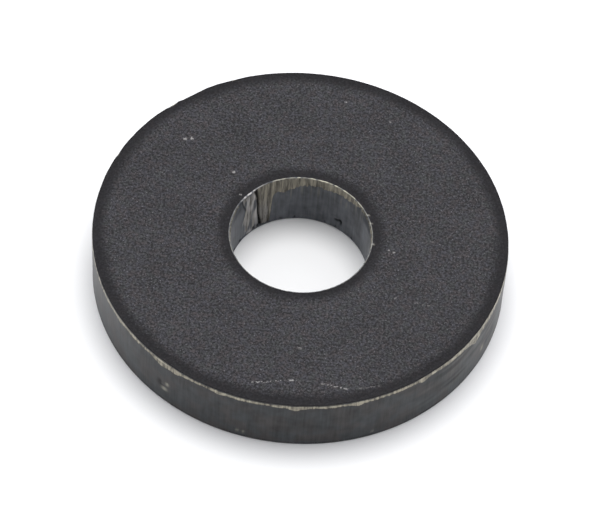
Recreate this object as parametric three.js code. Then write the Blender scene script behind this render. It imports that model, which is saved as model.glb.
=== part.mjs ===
// A thick flat washer for an M8 bolt: one round blank of black steel with a hole punched in it.
//
// Millimetres, +Z up. The washer lies flat, with the middle of its underside at the origin and
// its axis along Z. It is one piece of metal, so the group holds one mesh.
//
// A press cuts the rim and the hole in one stroke. The cut begins at the underside, where it
// leaves rounded edges, and runs straight up. Just below the upper face the metal tears instead,
// so there the hole opens out a little and the rim is left with a rough, broken corner.

import * as THREE from 'three';

// Driving dimensions.
const OUTER_DIAMETER = 25;
const THICKNESS = 4;
const BORE_DIAMETER = 8.4;     // the straight, cut part of the hole
const TEAR_HEIGHT = 1.1;       // how far the torn part of the hole reaches below the upper face
const TEAR_WIDENING = 0.15;    // what the hole's radius gains over that height
const RIM_CORNER = 0.1;        // broken corner between the rim and the upper face
const RIM_ROLL_RADIUS = 0.15;  // rounded corner between the rim and the underside
const BORE_ROLL_RADIUS = 0.15; // rounded corner between the hole and the underside

// How finely curves are divided.
const TURN_SIDES = 120;        // around the axis
const ROLL_STEPS = 4;          // along each rounded corner

// Points of a quarter circle in the section, from one angle to the other, ends included.
function cornerArc(centreR, centreZ, radius, fromAngle, toAngle) {
  return Array.from({ length: ROLL_STEPS + 1 }, (_, step) => {
    const angle = fromAngle + (toAngle - fromAngle) * (step / ROLL_STEPS);
    return new THREE.Vector2(
      centreR + radius * Math.cos(angle),
      centreZ + radius * Math.sin(angle),
    );
  });
}

// The section through one side of the ring, as (distance from the axis, height) points in one
// closed loop: along the underside, up the rim, back along the upper face and down the hole.
function washerSection() {
  const rimR = OUTER_DIAMETER / 2;
  const boreR = BORE_DIAMETER / 2;
  const down = -Math.PI / 2;

  const boreRoll = cornerArc(
    boreR + BORE_ROLL_RADIUS, BORE_ROLL_RADIUS, BORE_ROLL_RADIUS, -Math.PI, down);
  const rimRoll = cornerArc(
    rimR - RIM_ROLL_RADIUS, RIM_ROLL_RADIUS, RIM_ROLL_RADIUS, down, 0);
  const brokenCorner = [
    new THREE.Vector2(rimR, THICKNESS - RIM_CORNER),
    new THREE.Vector2(rimR - RIM_CORNER, THICKNESS),
  ];
  const tornHole = [
    new THREE.Vector2(boreR + TEAR_WIDENING, THICKNESS),
    new THREE.Vector2(boreR, THICKNESS - TEAR_HEIGHT),
  ];

  const loop = [...boreRoll, ...rimRoll, ...brokenCorner, ...tornHole];
  return [...loop, loop[0].clone()];
}

// The whole washer: its section turned about the axis, then laid flat.
function flatWasher() {
  const geometry = new THREE.LatheGeometry(washerSection(), TURN_SIDES);
  geometry.rotateX(Math.PI / 2);
  const blackSteel = new THREE.MeshStandardMaterial({
    color: 0x48484b,
    roughness: 0.6,
    metalness: 0.5,
  });
  const mesh = new THREE.Mesh(geometry, blackSteel);
  mesh.name = 'flat_washer';
  return mesh;
}

const group = new THREE.Group();
group.add(flatWasher());

export default group;
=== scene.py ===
# %% [markdown]
# # A thick flat washer
#
# This lesson dresses one small, plain object: a flat washer cut from black steel plate. A press
# stamps the rim and the hole in one stroke, and nobody finishes the part afterwards, so all of
# its character is in how the metal was cut. Most of each wall is smooth where the blade sheared
# it. Near the upper face the metal tore instead, and there it is rough and tan. The faces still
# wear the grainy dark scale of the rolling mill, pressed smooth in a band along each edge.
#
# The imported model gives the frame: where the washer is, and its true sizes. Everything here is
# measured from that frame.

# %% The frame
import math

import bpy
import numpy as np
from mathutils import Matrix, Vector


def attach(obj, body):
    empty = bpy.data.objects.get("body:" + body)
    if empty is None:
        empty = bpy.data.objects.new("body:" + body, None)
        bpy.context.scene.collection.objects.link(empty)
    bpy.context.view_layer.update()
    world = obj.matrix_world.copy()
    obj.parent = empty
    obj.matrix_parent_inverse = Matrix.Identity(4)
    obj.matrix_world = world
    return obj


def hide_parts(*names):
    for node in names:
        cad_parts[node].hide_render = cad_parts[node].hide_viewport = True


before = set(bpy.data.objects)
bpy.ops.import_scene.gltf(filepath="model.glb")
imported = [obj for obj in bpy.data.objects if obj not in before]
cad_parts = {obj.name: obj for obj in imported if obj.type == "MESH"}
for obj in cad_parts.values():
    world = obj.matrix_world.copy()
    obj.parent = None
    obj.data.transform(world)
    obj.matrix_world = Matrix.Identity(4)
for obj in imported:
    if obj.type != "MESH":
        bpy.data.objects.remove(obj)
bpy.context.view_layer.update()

# %% [markdown]
# The shape is worked out in millimetres, because that is how a washer is thought about, and
# scaled to Blender's metres at the end. The hole's two radii aren't in the box, so they are read
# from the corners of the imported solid: the narrowest ring is the cut wall of the hole, and the
# narrowest ring at the top is the hole's mouth.

# %% The washer's sizes
MM = 0.001

cad_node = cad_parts["flat_washer"]
cad_points = np.array([v.co for v in cad_node.data.vertices]) / MM
cad_radii = np.hypot(cad_points[:, 0], cad_points[:, 1])

TOP = cad_points[:, 2].max()
RIM = cad_radii.max()
BORE = cad_radii.min()
MOUTH = cad_radii[cad_points[:, 2] > TOP - 0.01].min()
print(f"thickness {TOP:.2f}, rim radius {RIM:.2f}, hole radius {BORE:.2f}, mouth {MOUTH:.2f} mm")

# %% [markdown]
# ## The camera
#
# A washer shows best from well above, where the face, the rim and the far wall of the hole are
# all in view. A long lens from far off keeps the circle from looking egg-shaped. The camera is
# placed on a sphere round the washer by its height above the horizon, aimed at a point just
# behind the washer's middle, and then turned a few degrees about its own line of sight.

# %% Camera
CAMERA_ELEVATION = math.radians(53.55)
CAMERA_DISTANCE = 224.9 * MM
CAMERA_ROLL = math.radians(-4.72)
CAMERA_AIM = Vector((0.068, 0.743, 0.548)) * MM
SENSOR_WIDTH = 36.0
LENS = 222.25


def aimed(origin, target, roll=0.0):
    """The matrix of an object at origin whose -Z looks at target and whose X stays level, turned
    by roll about the line of sight."""
    turn = (target - origin).to_track_quat("-Z", "Y").to_matrix().to_4x4()
    return Matrix.Translation(origin) @ turn @ Matrix.Rotation(-roll, 4, "Z")


camera_place = CAMERA_DISTANCE * Vector(
    (0, -math.cos(CAMERA_ELEVATION), math.sin(CAMERA_ELEVATION))
)
camera_data = bpy.data.cameras.new("camera")
camera_data.sensor_width = SENSOR_WIDTH
camera_data.lens = LENS
camera_data.clip_start = 10 * MM
camera_data.clip_end = 10.0
camera = bpy.data.objects.new("camera", camera_data)
camera.matrix_world = aimed(camera_place, CAMERA_AIM, CAMERA_ROLL)
bpy.context.scene.collection.objects.link(camera)
bpy.context.scene.camera = camera
bpy.context.scene.view_settings.view_transform = "Standard"
print("camera at", [round(c / MM, 1) for c in camera_place], "mm")

# %% [markdown]
# ## The light and the floor
#
# Dark steel on white paper is lit by one soft lamp almost overhead, leaning back a little, so that
# the paper burns out to white and the shadow stays close under the rim. A weaker glow from both
# sides and from behind, as from the walls of a light tent that is open towards the camera, fills
# the walls of the washer. The lamp's power is worked out from the brightness it should show: a
# disc of radiance L and radius r gives off pi * L * pi r^2 watts.

# %% Light and floor
LAMP_RADIUS = 0.19
LAMP_DISTANCE = 0.52
LAMP_LEAN = math.radians(11)
LAMP_RADIANCE = 6.1
GLOW_RIGHT = 1.36
GLOW_LEFT = 1.20
GLOW_BEHIND = 1.20
GLOW_HORIZON = 1.6
HORIZON_FADE = (0.04, 0.16)  # sines of the heights between which the walls take over
GLOW_COLOUR = (0.98, 0.99, 1.03, 1)
FLOOR_WHITE = 0.9
FLOOR_HALF_WIDTH = 0.4

lamp_data = bpy.data.lights.new("overhead lamp", "AREA")
lamp_data.shape = "DISK"
lamp_data.size = 2 * LAMP_RADIUS
lamp_data.energy = LAMP_RADIANCE * (math.pi * LAMP_RADIUS) ** 2
lamp = bpy.data.objects.new("overhead lamp", lamp_data)
lamp_place = LAMP_DISTANCE * Vector((0, math.sin(LAMP_LEAN), math.cos(LAMP_LEAN)))
lamp.matrix_world = aimed(lamp_place, Vector((0, 0, 0)))
bpy.context.scene.collection.objects.link(lamp)

floor_mesh = bpy.data.meshes.new("floor")
w = FLOOR_HALF_WIDTH
floor_mesh.from_pydata([(-w, -w, 0), (w, -w, 0), (w, w, 0), (-w, w, 0)], [], [(0, 1, 2, 3)])
floor = bpy.data.objects.new("floor", floor_mesh)
bpy.context.scene.collection.objects.link(floor)
print(f"lamp of {lamp_data.energy:.2f} W, {LAMP_DISTANCE} m away")

# %% [markdown]
# ## Writing node trees as arithmetic
#
# A finish is mostly arithmetic on patterns: this grain times that mask, plus a little of
# another. Wired by hand that is dozens of Math nodes. The two small classes below let it be
# written as Python: a Signal is one output socket, and +, - and * on it add the Math nodes.
# Tree.add makes any other node from its settings and its inputs, and the rest of Tree's methods
# are short names for the nodes that come up often.

# %% Signals and trees


class Signal:
    """One output socket of a node tree, which can be used in arithmetic."""

    def __init__(self, tree, socket):
        self.tree = tree
        self.socket = socket

    def __add__(self, other):
        return self.tree.math("ADD", self, other)

    def __sub__(self, other):
        return self.tree.math("SUBTRACT", self, other)

    def __rsub__(self, other):
        return self.tree.math("SUBTRACT", other, self)

    def __mul__(self, other):
        return self.tree.math("MULTIPLY", self, other)

    __radd__ = __add__
    __rmul__ = __mul__


class Tree:
    """A node tree, with one method that adds any node."""

    def __init__(self, node_tree):
        self.node_tree = node_tree
        node_tree.nodes.clear()

    def add(self, kind, settings=None, inputs=None, output=0):
        """Adds a node, applies its settings, fills its inputs with values or links, and returns
        one of its outputs as a Signal."""
        node = self.node_tree.nodes.new(kind)
        for name, setting in (settings or {}).items():
            setattr(node, name, setting)
        for key, value in (inputs or {}).items():
            if isinstance(value, Signal):
                self.node_tree.links.new(value.socket, node.inputs[key])
            else:
                node.inputs[key].default_value = value
        return Signal(self, node.outputs[output]) if len(node.outputs) else None

    def math(self, operation, *values, clamp=False):
        """A Math node on numbers or Signals."""
        settings = {"operation": operation, "use_clamp": clamp}
        return self.add("ShaderNodeMath", settings, dict(enumerate(values)))

    def ramp(self, value, low, high):
        """0 below low, 1 above high, and a smooth S between them."""
        settings = {"interpolation_type": "SMOOTHSTEP"}
        inputs = {"Value": value, "From Min": low, "From Max": high}
        return self.add("ShaderNodeMapRange", settings, inputs)

    def blend(self, share, first, second):
        """A colour that goes from first to second as share goes from 0 to 1."""
        settings = {"data_type": "RGBA"}
        inputs = {"Factor": share, 6: first, 7: second}
        return self.add("ShaderNodeMix", settings, inputs, output=2)

    def vector(self, operation, first, second, output="Vector"):
        """A Vector Math node on two vectors. Its answer is a vector, or with output="Value" a
        number."""
        settings = {"operation": operation}
        return self.add("ShaderNodeVectorMath", settings, {0: first, 1: second}, output)

    def scaled(self, vector, factor):
        """A vector or a colour times a number. A plain colour's alpha is left off, because this
        is vector maths."""
        vector = vector if isinstance(vector, Signal) else vector[:3]
        settings = {"operation": "SCALE"}
        return self.add("ShaderNodeVectorMath", settings, {0: vector, "Scale": factor})

    def axes(self, vector):
        """The X, Y and Z of a vector."""
        return [self.add("ShaderNodeSeparateXYZ", inputs={0: vector}, output=axis)
                for axis in "XYZ"]

    def noise(self, at, cells, detail=2.0, roughness=0.5):
        """Noise from 0 to 1, with so many cells to each unit of the coordinates `at`."""
        inputs = {"Vector": at, "Scale": cells, "Detail": detail, "Roughness": roughness}
        return self.add("ShaderNodeTexNoise", inputs=inputs)

    def field(self, name):
        """An attribute of the mesh, as a number."""
        return self.add("ShaderNodeAttribute", {"attribute_name": name}, output="Fac")


print("signals ready")

# %% [markdown]
# ## The white paper and the glow
#
# Paper has no gloss, so a Diffuse shader is all that the floor needs. The glow is the world's
# own light: a little arithmetic on a ray's direction brightens three sides and leaves the top
# and the front dark. Three large lamps would do as well, but their outlines would show in the
# walls of the washer, and these sides fade.

# %% White paper and glow


def paper_white():
    """Matt white, with no gloss at all."""
    material = bpy.data.materials.new("white paper")
    material.use_nodes = True
    tree = Tree(material.node_tree)
    white = (FLOOR_WHITE, FLOOR_WHITE, FLOOR_WHITE, 1)
    shader = tree.add("ShaderNodeBsdfDiffuse", inputs={"Color": white})
    tree.add("ShaderNodeOutputMaterial", inputs={"Surface": shader})
    return material


def tent_glow():
    """The world's light: three bright walls, fading out towards the top and the front, over a
    narrow bright horizon."""
    world = bpy.data.worlds.new("light tent")
    world.use_nodes = True
    tree = Tree(world.node_tree)
    direction = tree.add("ShaderNodeTexCoord", output="Generated")
    x, y, z = tree.axes(direction)
    walls = (GLOW_RIGHT * tree.math("MAXIMUM", x, 0.0)
             + GLOW_LEFT * tree.math("MAXIMUM", 0.0 - x, 0.0)
             + GLOW_BEHIND * tree.math("MAXIMUM", y, 0.0))
    above = tree.ramp(z, *HORIZON_FADE)
    strength = GLOW_HORIZON * (1.0 - above) + walls * above
    glow = tree.add("ShaderNodeBackground", inputs={"Color": GLOW_COLOUR, "Strength": strength})
    tree.add("ShaderNodeOutputWorld", inputs={"Surface": glow})
    return world


floor_mesh.materials.append(paper_white())
bpy.context.scene.world = tent_glow()
print("floor and glow dressed")

# %% [markdown]
# ## Noise that closes round the ring
#
# Everything rough on a washer has to meet itself after one turn. lattice_noise scatters seeded
# random numbers on a grid, joins them with an S-shaped ramp, and wraps the grid round the ring.
# swell makes one smooth hump at a chosen place, for a feature that sits somewhere definite, and
# swells and humps add up a table of them.

# %% Noise helpers
SIDES = 756

turn = np.arange(SIDES) * (2 * math.pi / SIDES)
turn_degrees = np.degrees(turn)


def s_ramp(x):
    """0 below 0, 1 above 1, and 3x^2 - 2x^3 between."""
    x = np.clip(x, 0, 1)
    return x * x * (3 - 2 * x)


def lattice_noise(cells_round, seed, across=None, cells_across=1, lean=0.0):
    """Smooth noise between -1 and 1 for every side of the ring. With across, an array of numbers
    from 0 to 1 of shape (rows, 1) or (rows, SIDES), it is a (rows, SIDES) field with cells_across
    cells over that span, sheared round the ring by lean radians from one end to the other."""
    across = np.zeros((1, 1)) if across is None else across
    values = np.random.default_rng(seed).uniform(-1, 1, (cells_across + 2, cells_round))
    cells = (turn + lean * across) * cells_round / (2 * math.pi)
    u, v = np.broadcast_arrays(cells, across * cells_across)
    column, row = np.floor(u).astype(int), np.floor(v).astype(int)
    right, down = s_ramp(u - column), s_ramp(v - row)
    column %= cells_round
    after = (column + 1) % cells_round
    near = values[row, column] * (1 - right) + values[row, after] * right
    far = values[row + 1, column] * (1 - right) + values[row + 1, after] * right
    field = near * (1 - down) + far * down
    return field[0] if field.shape[0] == 1 else field


def swell(at, width):
    """A hump of height 1 at the angle `at`: exp(-(turn away / width)^2), in degrees."""
    away = (turn_degrees - at + 180) % 360 - 180
    return np.exp(-((away / width) ** 2))


def swells(table):
    """The sum of size * swell over rows of (degrees, width in degrees, size)."""
    return sum(size * swell(at, width) for at, width, size in table)


def humps(table, height):
    """The sum of round humps on a wall, over rows of (degrees, height in mm, width in degrees,
    reach in mm, size): each is size * swell * exp(-(height away / reach)^2)."""
    return sum(size * swell(at, width) * np.exp(-(((height - level) / reach) ** 2))
               for at, level, width, reach, size in table)


def round_the_ring(stations):
    """A value for every side, drawn straight between (degrees, value) stations."""
    at, value = np.array(stations).T
    return np.interp(turn_degrees, at, value, period=360)


print("noise for", SIDES, "sides")

# %% [markdown]
# ## Where the metal tore
#
# Two lines tell the story of the press stroke: how far down the torn metal reaches below the
# upper face, on the rim and in the hole. On the rim it is a thin ragged strip with a few deeper
# bites. In the hole it is a band of uneven depth, and at one place the wall tore from top to
# bottom, with an open crack along it. Both lines are one number for each side of the ring.

# %% Depth of the torn metal
RIM_STRIP = 0.33
WORST_TEAR = -28.0  # degrees: round here the rim tore deeper, and right up to the face
RIM_BITES = (
    # degrees, width in degrees, depth in mm
    (-145, 1.3, 0.16),
    (-127, 3.4, 0.26),
    (-122, 2.0, 0.16),
    (-109, 0.8, 0.12),
    (-88, 1.6, 0.26),
    (-70.5, 1.4, 0.16),
    (-51, 1.2, 0.18),
    (-30, 2.4, 0.50),
    (24, 2.0, 0.30),
    (61, 1.2, 0.22),
    (113, 1.5, 0.30),
    (128, 4.0, 0.45),
    (171, 1.6, 0.20),
)
BORE_TEAR = (
    # degrees, depth in mm
    (0, 0.30), (20, 0.14), (36, 0.25), (46, 0.50), (60, 0.62), (72, 0.68), (84, 0.62),
    (94, 0.85), (101, 1.05), (107, 1.25), (113, 1.12), (117, 1.50), (119.5, 4.2), (148, 4.2),
    (151, 0.20), (168, 0.12), (190, 0.45), (214, 0.95), (236, 1.20), (255, 0.80), (281, 1.05),
    (300, 0.65), (322, 0.90), (344, 0.40),
)

rim_strip = RIM_STRIP + 0.04 * lattice_noise(110, 1) + 0.03 * lattice_noise(360, 2)
rim_strip = rim_strip + 0.14 * swell(WORST_TEAR, 13)
rim_strip = rim_strip + swells(RIM_BITES) * (1 + 0.3 * lattice_noise(240, 3))
open_edge = swell(WORST_TEAR, 24)

bore_tear = round_the_ring(BORE_TEAR) + 0.07 * lattice_noise(70, 4) + 0.06 * lattice_noise(200, 5)
bore_tear = np.clip(bore_tear, 0.05, TOP)
print(f"rim strip {rim_strip.min():.2f} to {rim_strip.max():.2f} mm deep,",
      f"torn hole {bore_tear.min():.2f} to {bore_tear.max():.2f} mm")

# %% [markdown]
# ## The section, one stretch at a time
#
# The ring is a closed section carried round the axis, so it could be a Spin or a Screw of one
# outline. But here the outline changes all the way round, so each stretch of it is a function
# that gives the radius and the height as whole (rows, SIDES) arrays. Stacked in order, the rows
# make one closed grid: out along the underside, up the rim, back over the upper face and down
# the hole. Each stretch also hands over what the finish needs to know there: how far inside the
# torn metal a point is, how bare it is rubbed, how burnished the bare metal is, how dark it is
# with painted shade in pits and cracks or with scuffs, and whether it is on a face.

# %% A stretch of the section
SLACK = 0.012  # how far below its full height the upper face lies, to leave room for its lips
ROW_GAP = 0.03  # between the last row of a corner and the first row of the next stretch


def in_rows(values):
    """A list of numbers as a (rows, 1) array, one to each row of the grid."""
    return np.array(values, float)[:, None]


def stretch(radius, height, torn=-1.0, bare=0.0, burnished=0.0, dark=0.0, face=0.0):
    """One stretch of the section: its arrays, each spread to (rows, SIDES)."""
    rows = np.broadcast_shapes(np.shape(radius), np.shape(height), (1, SIDES))
    fields = dict(radius=radius, height=height, torn=torn, bare=bare, burnished=burnished,
                  dark=dark, face=face)
    return {name: np.broadcast_to(np.asarray(f, float), rows) for name, f in fields.items()}


print("fields of a stretch:", ", ".join(stretch(0, 0)))

# %% [markdown]
# ## The underside
#
# The stroke began at this side. The metal bent before it was cut, so both edges are rounded, and
# between them the ring lies flat but for a few microns. A Bevel would round the edges as well,
# but to the same size all the way, and these are a little uneven.

# %% Underside and its rounded corners
ROLL = 0.10
UNDERSIDE_LIFT = 0.008


def rounded_corner(centre_radius, start, end, seed):
    """A quarter circle of radius ROLL in the section, centred ROLL above the floor, from the
    angle start to the angle end, with its radius a little uneven round the ring."""
    angle = in_rows(np.linspace(start, end, 6))
    size = ROLL * (1 + 0.15 * lattice_noise(40, seed))
    height = ROLL + size * np.sin(angle)
    return stretch(centre_radius + ROLL * np.cos(angle), np.maximum(height, 0))


def underside():
    """The flat ring that the washer lies on, hollow by a few microns here and there."""
    inner, outer = BORE + ROLL + ROW_GAP, RIM - ROLL - ROW_GAP
    share = in_rows([0, 0.02, 0.06, 0.15, 0.35, 0.6, 0.85, 0.94, 0.98, 1])
    lift = UNDERSIDE_LIFT * (1 + lattice_noise(30, 11, share, 6)) / 2
    lift = lift * s_ramp(share / 0.1) * s_ramp((1 - share) / 0.1)
    return stretch(inner + (outer - inner) * share, lift, face=1.0)


section = [
    rounded_corner(BORE + ROLL, math.pi, 1.5 * math.pi, 12),
    underside(),
    rounded_corner(RIM - ROLL, -0.5 * math.pi, 0, 13),
]
print("underside:", sum(len(part["radius"]) for part in section), "rows")

# %% [markdown]
# ## The rim
#
# The blade drew fine upright scratches over the sheared wall. They are real relief, a few
# microns deep, and run the whole height, so the noise has many cells round the ring and few up
# the wall. Above them the torn strip leans in towards the face. The outline isn't quite a circle
# either: at one place it runs straight for a couple of millimetres and then steps.

# %% The rim's outline and its rubbed places
RIM_SHORTFALL = (
    # degrees, and how far the outline falls short of the full circle there, in mm
    (0, 0), (109, 0), (112.5, 0.03), (115, 0.03), (118, 0), (121.5, 0.015), (124, 0.06),
    (126.4, 0.095), (129.6, 0.09), (131, 0.03), (132.3, 0.06), (134.2, 0.07), (135.4, 0.03),
    (139, 0), (154, 0), (156.5, 0.035), (159, 0), (306, 0), (312, 0.02), (318, 0),
)
RIM_RUBBED = (
    # degrees, width in degrees, size
    (-30, 30, 0.6),
    (-140, 25, 0.3),
)

rim_dent = round_the_ring(RIM_SHORTFALL)
rim_shine = 0.08 + 0.16 * lattice_noise(130, 27) + 0.35 * lattice_noise(400, 28)
rim_shine = rim_shine * (1 + swells(RIM_RUBBED))
rim_shine = np.clip(rim_shine + 0.25 * swell(WORST_TEAR, 13), 0, 1)
print(f"the outline falls short of the circle by up to {rim_dent.max():.3f} mm")

# %% [markdown]
# Handling has marked the wall since it was cut: two gouges, some chips of bare metal and, on
# one side, scuffs. They are kept apart from the cut, because only the gouges are deep enough to
# be part of the shape. The rest is in the colour.

# %% Marks on the rim
GOUGE_DEPTH = 0.05
RIM_GOUGES = (
    # degrees, height in mm, width in degrees, reach in mm, size
    (-127.4, 1.70, 0.6, 0.26, 1.0),
    (-126.4, 1.43, 0.9, 0.08, 1.0),
)
RIM_CHIPS = (
    # degrees, height in mm, width in degrees, reach in mm, size
    (-124.8, 1.85, 0.5, 0.12, 1.0),
    (-125.8, 1.25, 0.9, 0.12, 1.0),
    (-25.4, 1.35, 0.75, 0.22, 0.8),
    (-103.1, 0.55, 0.35, 0.12, 0.5),
    (-101.4, 0.55, 0.35, 0.12, 0.5),
    (-65.9, 0.47, 0.35, 0.09, 0.5),
)


def rim_marks(height, torn):
    """What handling left on the sheared wall: how dark it is, and how bare. Gouges are dark with
    painted shade and chips are bare. Scuffs are a noise on one side, dark above zero and faintly
    bare below."""
    scuffs = lattice_noise(36, 53, height / TOP, 17) + 0.3 * s_ramp((height - 1.8) / 1.0)
    scuffs = scuffs * swell(-36, 16) * s_ramp(-torn / 0.1) * s_ramp((height - 0.2) / 1.4)
    # Painted shade in the gouges, and the darkening of the scuffs.
    dark = 0.5 * humps(RIM_GOUGES, height) + 0.5 * np.maximum(scuffs, 0)
    bare = 0.6 * humps(RIM_CHIPS, height) - 0.04 * np.minimum(scuffs, 0)
    return dark, bare


print(len(RIM_GOUGES), "gouges and", len(RIM_CHIPS), "chips on the rim")

# %% The rim's wall
STREAK_DEPTH = 0.006
STRIP_LEAN = 0.025
STRIP_ROUGHNESS = 0.022
CORNER_WIDTH = 0.045
WRAP = 0.13  # how far the scale of the face reaches down over the rim's edge
WRAP_OPENED = 0.2  # how much higher than that the tear reaches where it is worst


def rim_wall():
    """From the rounded corner up to just under the upper face. The radius is the rim's, less
    its dents, streaks and gouges, and less the lean and the roughness of the torn strip."""
    smooth_part = np.linspace(ROLL + ROW_GAP, TOP - 0.9, 21)
    torn_part = np.linspace(TOP - 0.8, TOP - 0.09, 14)
    height = in_rows([*smooth_part, *torn_part])
    up = height / TOP
    torn = height - (TOP - rim_strip)
    streaks = STREAK_DEPTH * (lattice_noise(400, 21, up, 3) + lattice_noise(220, 22, up, 2)) / 2
    lean = STRIP_LEAN * np.clip(torn / rim_strip, 0, 1) ** 1.5
    rough = STRIP_ROUGHNESS * np.abs(lattice_noise(320, 23, up, 40)) * s_ramp(torn / 0.1)
    gouged = GOUGE_DEPTH * humps(RIM_GOUGES, height)
    radius = RIM - STREAK_DEPTH - rim_dent + streaks - lean - rough - gouged

    # The scale of the face wraps over the edge, and hides the top of the torn strip.
    dark, bare = rim_marks(height, torn)
    wrapped_from = TOP - WRAP + WRAP_OPENED * open_edge + 0.02 * lattice_noise(180, 54)
    torn = np.minimum(torn, wrapped_from - height)
    strip = s_ramp(torn / 0.04) * (0.02 + 0.30 * lattice_noise(380, 29, up, 40))
    line = TOP - 0.27 - 0.06 * lattice_noise(200, 30)
    edge = s_ramp((height - line) / 0.07) * s_ramp((TOP - 0.12 - height) / 0.06) * rim_shine
    return stretch(radius, height, torn=torn, dark=dark, bare=bare + np.maximum(strip, 0) + edge)


section += [rim_wall()]
print("rim:", len(section[-1]["radius"]), "rows")

# %% [markdown]
# The broken corner joins the rim to the face. It is only a twentieth of a millimetre wide, but
# it catches the light all the way round, so it has seven rows of its own.

# %% The rim's corner
CORNER_FLECKS = (
    # degrees, width in degrees, size
    (113.2, 0.6, 0.5),
    (132.8, 1.0, 0.7),
    (157, 0.5, 0.3),
)


def rim_corner():
    """The broken corner over the top of the torn strip. The scale of the face wraps over it,
    except where the tear reached the very edge, and its crest is uneven in height."""
    share = in_rows(np.linspace(0, 1, 7))
    crest = np.clip(0.6 + 0.6 * lattice_noise(150, 24) + 0.3 * lattice_noise(420, 25), 0, 1)
    low = TOP - 0.06
    high = TOP - SLACK * (1 - crest) * np.ones_like(share)
    height = low + (high - low) * np.sin(share * math.pi / 2)
    inward = STRIP_LEAN + CORNER_WIDTH * (1 - np.cos(share * math.pi / 2))
    radius = RIM - STREAK_DEPTH - rim_dent - inward + 0.008 * lattice_noise(300, 26) * (1 - share)
    rubbed = 0.2 * rim_shine * s_ramp((0.3 - share) / 0.3) + swells(CORNER_FLECKS)
    torn = 0.09 * open_edge - 0.035 - 0.4 * share
    return stretch(radius, height, torn=torn, face=s_ramp(share / 0.3), bare=rubbed)


section += [rim_corner()]
print("corner:", len(section[-1]["radius"]), "rows")

# %% [markdown]
# ## The upper face
#
# The face is flat, but not dead flat. Beside the rim and the hole the press pulled it down by
# hundredths of a millimetre, which is what makes the smooth dark bands catch the light apart
# from the grain. Between them it wanders by a few microns. The mouth of the hole isn't quite in
# the middle, because the punch and the die were a little out of line.

# %% The upper face
BAND = 0.65
BAND_DIP = 0.018
LIP_REACH = 0.085  # how far the burr of the hole reaches in past its mouth
PUNCH_OFFSET = 0.06  # how far the punch was out of line with the die, along Y
SMEARED_LIP = 141.0  # degrees: here the lip is pushed inwards
BURRS = (
    # degrees, width in degrees, size
    (24.5, 0.8, 0.9),
    (15.9, 0.7, 0.5),
    (-4.5, 0.8, 0.9),
)

mouth = MOUTH - LIP_REACH - PUNCH_OFFSET * np.sin(turn) - 0.05 * swell(SMEARED_LIP, 8)
burrs = swells(BURRS)


def upper_face():
    """From the corner at the rim in to the lip of the hole."""
    outer = RIM - STREAK_DEPTH - rim_dent - STRIP_LEAN - CORNER_WIDTH - ROW_GAP
    inner = mouth + 0.07
    share = in_rows([0, 0.004, 0.012, 0.03, 0.055, 0.08, 0.12, 0.2, 0.32, 0.46, 0.6, 0.74,
                     0.84, 0.89, 0.925, 0.955, 0.98, 0.992, 1])
    radius = outer + (inner - outer) * share
    from_edge = np.minimum(outer - radius, radius - inner)
    dip = BAND_DIP * s_ramp(from_edge / 0.08) * s_ramp(1 - (from_edge - 0.1) / BAND)
    wander = 0.003 * lattice_noise(24, 31, share, 4) * s_ramp(from_edge / 0.5)
    burred = burrs * s_ramp((0.16 - (radius - inner)) / 0.14)
    return stretch(radius, TOP - SLACK - dip - 0.003 + wander + 0.01 * burred,
                   bare=0.5 * burred, burnished=burred, face=1.0)


section += [upper_face()]
print("upper face:", len(section[-1]["radius"]), "rows")

# %% [markdown]
# ## The hole
#
# The hole's wall is the most telling part. Its sheared part is close to a true cylinder, with
# fine upright streaks. Above the tear line it opens out to the mouth, with the coarse upright
# grain of broken steel. The full-height scar is the same broken grain sunk a little deeper, and
# the crack in it wanders as it goes down. A hooked pit and a row of nicks along the foot finish
# it. All of this is shape and not only colour, so it shows from any side.

# %% The scar and the crack
SCAR_FROM, SCAR_TO = 118.0, 150.0
CRACK_PATH = (
    # height in mm, angle in degrees
    (0.0, 127.6), (0.6, 127.8), (1.6, 129.4), (2.4, 129.8), (3.1, 131.4), (3.6, 132.9),
    (4.0, 133.5),
)
SCAR_DEPTH = 0.035
CRACK_DEPTH = 0.16


def scar_cover(height):
    """How far a point is in the scar, from 0 to 1, and on the dark line along its far side. The
    scar is 5 degrees narrower at 2.5 mm up."""
    scar_end = SCAR_TO - 5 * np.exp(-(((height - 2.5) / 0.8) ** 2))
    scar = s_ramp((turn_degrees - SCAR_FROM) / 3) * s_ramp((scar_end - turn_degrees) / 2)
    border = s_ramp((height - 2.4) / 0.4) * np.exp(-((turn_degrees - scar_end) ** 2))
    return scar, border


def crack_cover(height):
    """The crack, as a hump exp(-(turn away / width)^2) across its path, and how far a point is
    on the side of it where metal was smeared over the scar."""
    heights, path = np.array(CRACK_PATH).T
    wobble = 0.4 * lattice_noise(8, 41, height / TOP, 9)[:, :1]
    crack_at = np.interp(height, heights, path) + wobble
    width = 0.9 + 0.5 * s_ramp((1.1 - height) / 0.7) + 0.7 * s_ramp((height - 3.0) / 0.6)
    crack = np.exp(-(((turn_degrees - crack_at) / width) ** 2))
    smeared = s_ramp((turn_degrees - crack_at - 0.5) / 1.5) * s_ramp((155 - turn_degrees) / 3)
    return crack, smeared


print(f"scar from {SCAR_FROM:.0f} to {SCAR_TO:.0f} degrees, crack {CRACK_DEPTH} mm deep")

# %% [markdown]
# Where the hole meets the face, the cut left a thin lip. Part of it has been rubbed bright, and
# three small burrs stand out from it. A Bevel can't do this, since it only rounds an edge, so
# the lip has rows of its own too.

# %% The lip of the mouth
LIP_RUBBED = (
    # degrees, width in degrees, size
    (72, 38, 0.95),
    (SMEARED_LIP, 8, 0.85),
)


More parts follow.
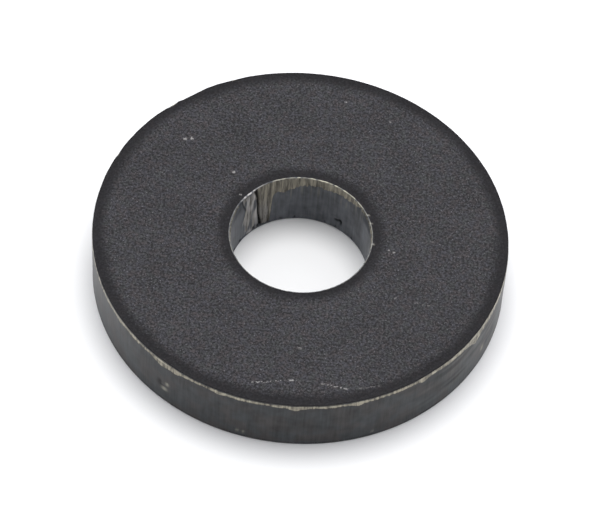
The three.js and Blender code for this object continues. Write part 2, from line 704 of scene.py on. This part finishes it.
def mouth_lip():
    """The burr round the top of the hole: a thin bright bead that reaches the full height."""
    share = in_rows(np.linspace(0, 1, 6))
    crest = np.clip(0.7 + 0.5 * lattice_noise(90, 45) + 0.3 * lattice_noise(260, 46), 0, 1)
    width = 0.055 * (1 + 0.9 * swell(143, 9))
    radius = mouth + width * (1 - share) ** 1.4 + 0.010 * lattice_noise(200, 47)
    high = TOP - SLACK * (1 - crest)
    height = high - 0.035 * share ** 1.6
    rubbed = 0.22 + swells(LIP_RUBBED) + burrs
    rubbed = rubbed * np.clip(0.75 + 0.75 * lattice_noise(170, 48), 0, 1.5)
    return stretch(radius, height, bare=rubbed * np.sin(math.pi * (0.15 + 0.75 * share)),
                   burnished=np.clip(swell(143, 22) + burrs, 0, 1))


section += [mouth_lip()]
print("lip:", len(section[-1]["radius"]), "rows")

# %% [markdown]
# The wall comes last in the section, from the mouth down to the underside. Its rows lie closest
# near the mouth and at the foot, where the shape changes fastest.

# %% The hole's wall
FOOT_NICKS = (
    # degrees, width in degrees, depth in mm
    (162, 1.2, 0.05), (152, 2.2, 0.07), (134, 1.6, 0.08), (128, 2.2, 0.12), (109, 1.2, 0.05),
    (97, 0.7, 0.07), (71, 0.8, 0.06), (61, 1.2, 0.05), (43, 1.4, 0.05), (255, 1.6, 0.06),
    (310, 1.2, 0.05), (210, 0.9, 0.06),
)
HOOKED_PIT = (
    # degrees, height in mm, width in degrees, reach in mm, size
    (60.6, 0.86, 2.0, 0.10, 1.0),
    (57.4, 0.95, 1.6, 0.10, 1.0),
    (55.9, 0.82, 0.9, 0.18, 1.0),
)
PIT_DEPTH = 0.06
# Painted shade at the top of the hole's wall, just under the mouth.
BORE_SHADED = (
    # degrees, width in degrees, size
    (20, 16, 0.5),
    (158, 12, 0.4),
)


def bore_wall():
    """From the mouth down to the rounded corner at the underside. The radius is the cut hole's,
    plus the opening of the torn part and the depth of everything that is broken out of it."""
    torn_part = np.linspace(TOP - 0.06, TOP - 1.45, 17)
    smooth_part = [*np.linspace(TOP - 1.6, 1.45, 6), *np.linspace(1.3, ROLL + ROW_GAP, 17)]
    height = in_rows([*torn_part, *smooth_part])
    up = height / TOP
    torn = height - (TOP - bore_tear)
    inside = np.clip(torn / np.minimum(bore_tear, 1.1), 0, 1)
    scar, scar_border = scar_cover(height)
    crack, smeared = crack_cover(height)
    pit = humps(HOOKED_PIT, height)
    nicks = s_ramp((0.42 - height) / 0.2) * swells(FOOT_NICKS)

    opening = (mouth - BORE) * np.maximum(inside ** 0.8, 0.55 * scar)
    grain = 0.5 * lattice_noise(300, 42, up, 7) + 0.5 * lattice_noise(140, 43, up, 4)
    broken = (0.020 + SCAR_DEPTH * scar) * (1 + grain) * s_ramp(torn / 0.12)
    streaks = STREAK_DEPTH * (1 + lattice_noise(240, 44, up, 2)) / 2
    radius = BORE + opening + broken + streaks + CRACK_DEPTH * crack + nicks + PIT_DEPTH * pit

    # Painted shade, dark in the crack, the pit, the nicks and in two places just under the mouth.
    dark = np.clip(1.6 * crack + 1.4 * pit + 7 * nicks + 0.8 * scar_border, 0, 1)
    dark = np.maximum(dark, s_ramp((height - 2.9) / 0.5) * swells(BORE_SHADED))

    # Bright flakes where metal was smeared over the scar, and scored lines under the tear. The
    # smear hides the torn colour: 5 mm takes a point out of any tear.
    flake = lattice_noise(150, 49, up, 5, lean=0.16) + 0.6 * lattice_noise(330, 51, up, 6, lean=0.1)
    shine = smeared * scar * np.clip(0.20 + 0.75 * flake, 0.02, 0.85)
    patchy = np.clip(0.6 + 3 * lattice_noise(90, 52, up, 5, lean=0.16), 0, 1)
    torn = torn - 5 * smeared * np.where(turn_degrees < SCAR_TO - 3, patchy, 1)
    scored = 0.40 * np.clip(lattice_noise(260, 50, up, 3) - 0.2, 0, 1)
    scored = scored * s_ramp((1.3 + torn) / 1.3) * s_ramp((112 - turn_degrees) / 10)
    burnished = scar * np.maximum(smeared, s_ramp((2.8 - height) / 1.4))
    return stretch(radius, height, torn=torn, dark=dark, bare=shine + scored, burnished=burnished)


section += [bore_wall()]
print("hole:", len(section[-1]["radius"]), "rows")

# %% [markdown]
# ## One closed skin
#
# The stretches are stacked into one grid of rows by sides. The last row joins the first and the
# last side joins the first, so the grid is a torus with no open edge and no pole to close. The
# five extra fields go along as attributes of the points.
#
# The stroke wasn't quite square to the plate, and a sheared blank is a little smaller where the
# blade went in. So the whole cut drifts sideways and narrows by hundredths of a millimetre
# towards the underside.

# %% The washer's mesh


def closed_grid_faces(rows, sides):
    """Corner numbers of every face of a grid that wraps both ways, wound to face outwards."""
    row, side = np.meshgrid(np.arange(rows), np.arange(sides), indexing="ij")
    next_row, next_side = (row + 1) % rows, (side + 1) % sides
    corners = (row * sides + side, row * sides + next_side,
               next_row * sides + next_side, next_row * sides + side)
    return np.stack(corners, axis=-1).reshape(-1, 4)


def grid_mesh(name, points, faces):
    """A mesh from an array of points and an array of four-cornered faces, shaded smooth."""
    mesh = bpy.data.meshes.new(name)
    mesh.vertices.add(len(points))
    mesh.vertices.foreach_set("co", points.astype(np.float32).ravel())
    mesh.loops.add(faces.size)
    mesh.loops.foreach_set("vertex_index", faces.astype(np.int32).ravel())
    mesh.polygons.add(len(faces))
    mesh.polygons.foreach_set("loop_start", np.arange(0, faces.size, 4, dtype=np.int32))
    mesh.update(calc_edges=True)
    mesh.validate()
    mesh.shade_smooth()
    return mesh


def stacked(name):
    """One field of all the stretches, in order."""
    return np.concatenate([part[name] for part in section])


CUT_DRIFT = (0.036, -0.03)  # along X and Y, in mm over the whole thickness
CUT_NARROWING = 0.04  # of the rim's radius, in mm over the whole thickness

radius, height = stacked("radius"), stacked("height")
depth_share = 1 - height / TOP
radius = radius * (1 - CUT_NARROWING / RIM * depth_share)
across_x = radius * np.cos(turn) + CUT_DRIFT[0] * depth_share
across_y = radius * np.sin(turn) + CUT_DRIFT[1] * depth_share
washer_points = np.stack([across_x, across_y, height], axis=-1).reshape(-1, 3)
washer_mesh = grid_mesh("washer", washer_points * MM, closed_grid_faces(*radius.shape))
for field in ("torn", "bare", "burnished", "dark", "face"):
    attribute = washer_mesh.attributes.new(field, "FLOAT", "POINT")
    attribute.data.foreach_set("value", stacked(field).astype(np.float32).ravel())

washer = bpy.data.objects.new("washer", washer_mesh)
bpy.context.scene.collection.objects.link(washer)
print(f"washer: {radius.shape[0]} rows x {SIDES} sides, {2 * len(washer_mesh.polygons)} triangles")

# %% [markdown]
# ## The steel
#
# One finish covers the whole washer, because it is one piece of metal: dark scale on the faces,
# a smoother grey on the sheared walls, tan broken steel where it tore. Each of these is worked
# out by a function of its own, and the attributes say which shows where. All the patterns are
# noise in space, read at Object coordinates that are counted in millimetres. A picture would
# need the ring unwrapped and would show a seam. Noise in space has none, and its grain is the
# same size on every side.

# %% Coordinates for the patterns
UPRIGHT_SQUEEZE = 0.06


def in_millimetres(tree):
    """Object coordinates in mm."""
    return tree.scaled(tree.add("ShaderNodeTexCoord", output="Object"), 1 / MM)


def drawn_upright(tree, place):
    """Coordinates with Z squeezed, so that noise read at them comes out as upright streaks."""
    inputs = {"Vector": place, "Scale": (1, 1, UPRIGHT_SQUEEZE)}
    return tree.add("ShaderNodeMapping", {"vector_type": "POINT"}, inputs)


def from_axis(tree, place):
    """The distance from the washer's axis in mm, which is the root of x^2 + y^2."""
    x, y, _ = tree.axes(place)
    return tree.math("SQRT", x * x + y * y)


print(f"streaks are {1 / UPRIGHT_SQUEEZE:.0f} times as long as they are wide")

# %% [markdown]
# ## The scale on the faces
#
# Hot rolling leaves a skin of grey-black oxide. It is grainy, about seven grains to the
# millimetre, and glints where a grain is broken. It isn't quite one colour, but leans to green,
# red and blue in small patches. Beside the rim and the hole the press squeezed it smooth, and
# there it is darker. The band is the distance to the nearer edge put through a soft step, which
# a slow noise makes wander.

# %% Mill scale
SCALE_DARK = (0.010, 0.0095, 0.0105, 1)
SCALE_GREEN = (0.0518, 0.0538, 0.0550, 1)
SCALE_RUDDY = (0.0585, 0.0508, 0.0535, 1)
SCALE_BLUE = (0.0528, 0.0520, 0.0605, 1)
SPARKLE = (0.20, 0.195, 0.21, 1)
BAND_COLOUR = (0.0045, 0.0038, 0.0050, 1)
GRAINS_PER_MM = 7.0
BAND_FADE = (0.35, 1.15)  # mm from the edge over which the grain comes back
BAND_WANDER = 0.25  # mm
BAND_SHIFT = 0.14  # how much narrower the smooth band is beside the hole, in mm
BAND_GRAIN = 0.2  # how much of the grain is left in the band


def mill_scale(tree, place, distance):
    """The colour of the scale, and the height of its grain from 0 to 1."""
    grain = tree.noise(place, GRAINS_PER_MM, roughness=0.6)
    patches = tree.noise(place, 0.45)
    edge = tree.math("MINIMUM", RIM - distance, distance - (MOUTH - BAND_SHIFT))
    edge = edge + BAND_WANDER * (patches - 0.5)
    grained = BAND_GRAIN + (1 - BAND_GRAIN) * tree.ramp(edge, *BAND_FADE)

    ruddy = tree.ramp(tree.noise(place, 2.1, detail=3.0), 0.40, 0.60)
    blue = tree.ramp(tree.noise(place, 2.7, detail=3.0), 0.42, 0.62)
    pale = tree.ramp(grain + 0.15 * (patches - 0.5), 0.30, 0.74)
    glint = 0.5 * tree.ramp(tree.noise(place, 11.0), 0.60, 0.74)
    colour = tree.blend(ruddy, SCALE_GREEN, SCALE_RUDDY)
    colour = tree.blend(blue, colour, SCALE_BLUE)
    colour = tree.blend(pale, SCALE_DARK, colour)
    colour = tree.blend(glint, colour, SPARKLE)
    return tree.blend(grained, BAND_COLOUR, colour), grain * grained


print("grains about", round(1 / GRAINS_PER_MM, 2), "mm across")

# %% [markdown]
# ## Knocks on the upper face
#
# A loose washer gets knocked about. A few bright specks show through the scale, and a few dotted
# scratches where it slid over grit. A speck fades with the distance to a point and a scratch
# with the distance to a line, and noise breaks both into crumbs.

# %% Specks and scratches
SCRATCH_FADE = (0.02, 0.09)
SCRATCHES = (
    # x, y at one end, x, y at the other in mm, and how bright
    (-2.12, -11.08, 0.42, -10.66, 1.0),
    (1.95, -10.78, 3.60, -11.02, 0.9),
    (3.60, -11.02, 5.25, -10.60, 0.3),
    (6.75, -4.40, 8.10, -4.60, 0.35),
    (7.60, 0.30, 8.35, 0.03, 0.3),
)
SPECKS = (
    # x, y, radius in mm
    (-7.50, 6.48, 0.16), (-7.08, 6.58, 0.17), (-4.35, 4.25, 0.15), (-3.82, 2.57, 0.12),
    (2.1, 10.4, 0.12), (4.9, 9.1, 0.11), (5.88, -4.20, 0.12), (5.32, -0.70, 0.08),
    (5.62, -0.82, 0.13), (0.5, -8.4, 0.14),
)


def speck(tree, place, at_x, at_y, radius):
    """1 at a point of the upper face, fading to 0 at the radius."""
    away = tree.vector("DISTANCE", place, (at_x, at_y, TOP), "Value")
    return 1.0 - tree.ramp(away, 0.3 * radius, radius)


def scratch(tree, place, from_x, from_y, to_x, to_y):
    """1 on the line between two points of the upper face, fading to 0 beside it. The line's
    nearest point is start + share * along, where share = (place - start) . along / |along|^2,
    kept between 0 and 1."""
    along = Vector((to_x - from_x, to_y - from_y, 0))
    offset = tree.vector("SUBTRACT", place, (from_x, from_y, TOP))
    share = tree.vector("DOT_PRODUCT", offset, tuple(along), "Value")
    share = tree.math("MULTIPLY", share, 1 / along.length_squared, clamp=True)
    away = tree.vector("DISTANCE", offset, tree.scaled(tuple(along), share), "Value")
    return 1.0 - tree.ramp(away, *SCRATCH_FADE)


def knocks(tree, place):
    """How far the metal under the scale shows, from 0 to 1."""
    crumbs = 0.15 + 0.85 * tree.ramp(tree.noise(place, 7.5, detail=1.0), 0.44, 0.56)
    dots = tree.ramp(tree.noise(place, 6.2, detail=1.0), 0.48, 0.62)
    specks = sum(speck(tree, place, *row) for row in SPECKS)
    scratches = sum(strength * scratch(tree, place, *ends) for *ends, strength in SCRATCHES)
    marks = crumbs * specks + dots * scratches
    return tree.math("MULTIPLY", marks, tree.field("face"), clamp=True)


print(len(SPECKS), "specks and", len(SCRATCHES), "scratches")

# %% [markdown]
# ## The sheared walls and the broken steel
#
# The blade wiped the sheared walls smooth and left fine upright streaks on them. The rim's wall
# has darkened since, greenish here and brown there, while the hole's is cleaner and bluer. Torn
# steel is a different thing: its broken grains scatter the light, so it looks pale and coarse.
# The torn attribute is a distance in mm, and a little noise added to it frays the border.

# %% Walls
SHEARED = (0.0285, 0.0315, 0.034, 1)
SHEARED_BROWN = (0.032, 0.0295, 0.0295, 1)
SHEARED_HOLE = (0.090, 0.096, 0.108, 1)
TORN_DARK = (0.060, 0.053, 0.042, 1)
TORN_PALE = (0.33, 0.30, 0.23, 1)
TORN_GREY = (0.31, 0.295, 0.275, 1)
STREAKS_PER_MM = 7.0
FOOT_PALER = 0.08  # for each mm down from the upper face
TORN_FRAY = 0.16  # mm, as is the border
TORN_BORDER = (-0.02, 0.05)


def sheared_steel(tree, place, upright, streaks, distance):
    """The colour of a sheared wall: its metal times a mottle, a little paler towards the foot."""
    rim_metal = tree.blend(tree.ramp(tree.noise(place, 0.8), 0.42, 0.60), SHEARED, SHEARED_BROWN)
    in_hole = tree.math("LESS_THAN", distance, (RIM + MOUTH) / 2)
    metal = tree.blend(in_hole, rim_metal, SHEARED_HOLE)
    clouds = tree.noise(place, 1.4)
    bands = tree.noise(upright, 1.6)
    mottle = 0.75 + 1.3 * (clouds - 0.5) + 0.7 * (bands - 0.5) + 1.1 * (streaks - 0.5)
    z = tree.axes(place)[2]
    return tree.scaled(metal, mottle + FOOT_PALER * (TOP - z))


def broken_steel(tree, upright):
    """How far torn metal shows, from 0 to 1, and its colour."""
    coarse = tree.noise(upright, 5.5, detail=4.0, roughness=0.75)
    shows = tree.ramp(tree.field("torn") + TORN_FRAY * (coarse - 0.5), *TORN_BORDER)
    pale = tree.blend(tree.field("burnished"), TORN_PALE, TORN_GREY)
    return shows, tree.blend(tree.ramp(coarse, 0.34, 0.66), TORN_DARK, pale)


print("walls:", STREAKS_PER_MM, "streaks to the millimetre")

# %% [markdown]
# ## The finish put together
#
# The colours go over each other in the order in which they came about: the walls and the scale,
# the torn metal, the edges that rubbing made bright, and last the scuffs. Over all of them goes a
# near-black painted shade in the crack, the pit, the nicks and the gouges and just under the mouth.
# Roughness follows the same attributes. One Bump node gives the grain and the streaks their
# relief, which is too fine for the mesh.

# %% The steel's finish
BARE = (0.52, 0.495, 0.39, 1)
BURNISHED = (0.50, 0.48, 0.47, 1)
# Near-black painted shade in the crack, pit, nicks and gouges and under the mouth; also the scuffs.
SHADE_AND_SCUFF_BLACK = (0.003, 0.003, 0.004, 1)
KNOCK_SHINE = 0.45
PIT_COVER = 0.95
FACE_ROUGHNESS = 0.78
WALL_ROUGHNESS = 0.40
PIT_ROUGHNESS = 0.5
SHINE_LEVEL = 0.22
RELIEF = 0.03 * MM
STREAK_RELIEF = 0.3


def steel():
    """The whole finish, as one material."""
    material = bpy.data.materials.new("black steel")
    material.use_nodes = True
    tree = Tree(material.node_tree)
    place = in_millimetres(tree)
    upright = drawn_upright(tree, place)
    distance = from_axis(tree, place)
    streaks = tree.noise(upright, STREAKS_PER_MM, roughness=0.6)
    face, dark = tree.field("face"), tree.field("dark")

    scale, grain = mill_scale(tree, place, distance)
    scale = tree.blend(KNOCK_SHINE * knocks(tree, place), scale, BURNISHED)
    walls = sheared_steel(tree, place, upright, streaks, distance)
    torn, broken = broken_steel(tree, upright)
    bare = tree.math("MULTIPLY", tree.field("bare"), 1.0, clamp=True)
    rubbed = tree.blend(tree.field("burnished"), BARE, BURNISHED)
    # How far the near-black painted shade and the scuffs cover the colour.
    shade_and_scuffs = tree.math("MULTIPLY", dark, PIT_COVER, clamp=True)

    colour = tree.blend(face, walls, scale)
    colour = tree.blend(torn, colour, broken)
    colour = tree.blend(bare, colour, rubbed)
    colour = tree.blend(shade_and_scuffs, colour, SHADE_AND_SCUFF_BLACK)

    roughness = WALL_ROUGHNESS + (FACE_ROUGHNESS - WALL_ROUGHNESS) * face
    roughness = tree.math("ADD", roughness, PIT_ROUGHNESS * dark, clamp=True)
    relief = grain * face + STREAK_RELIEF * streaks
    bump = {"Strength": 1.0, "Distance": RELIEF, "Height": relief}
    principled = {
        "Base Color": colour,
        "Metallic": 0.0,
        "Roughness": roughness,
        "Specular IOR Level": SHINE_LEVEL,
        "Normal": tree.add("ShaderNodeBump", inputs=bump, output="Normal"),
    }
    shader = tree.add("ShaderNodeBsdfPrincipled", inputs=principled)
    tree.add("ShaderNodeOutputMaterial", inputs={"Surface": shader})
    return material


washer_mesh.materials.append(steel())
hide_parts("flat_washer")
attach(washer, "root")
print("washer dressed in", washer_mesh.materials[0].name)
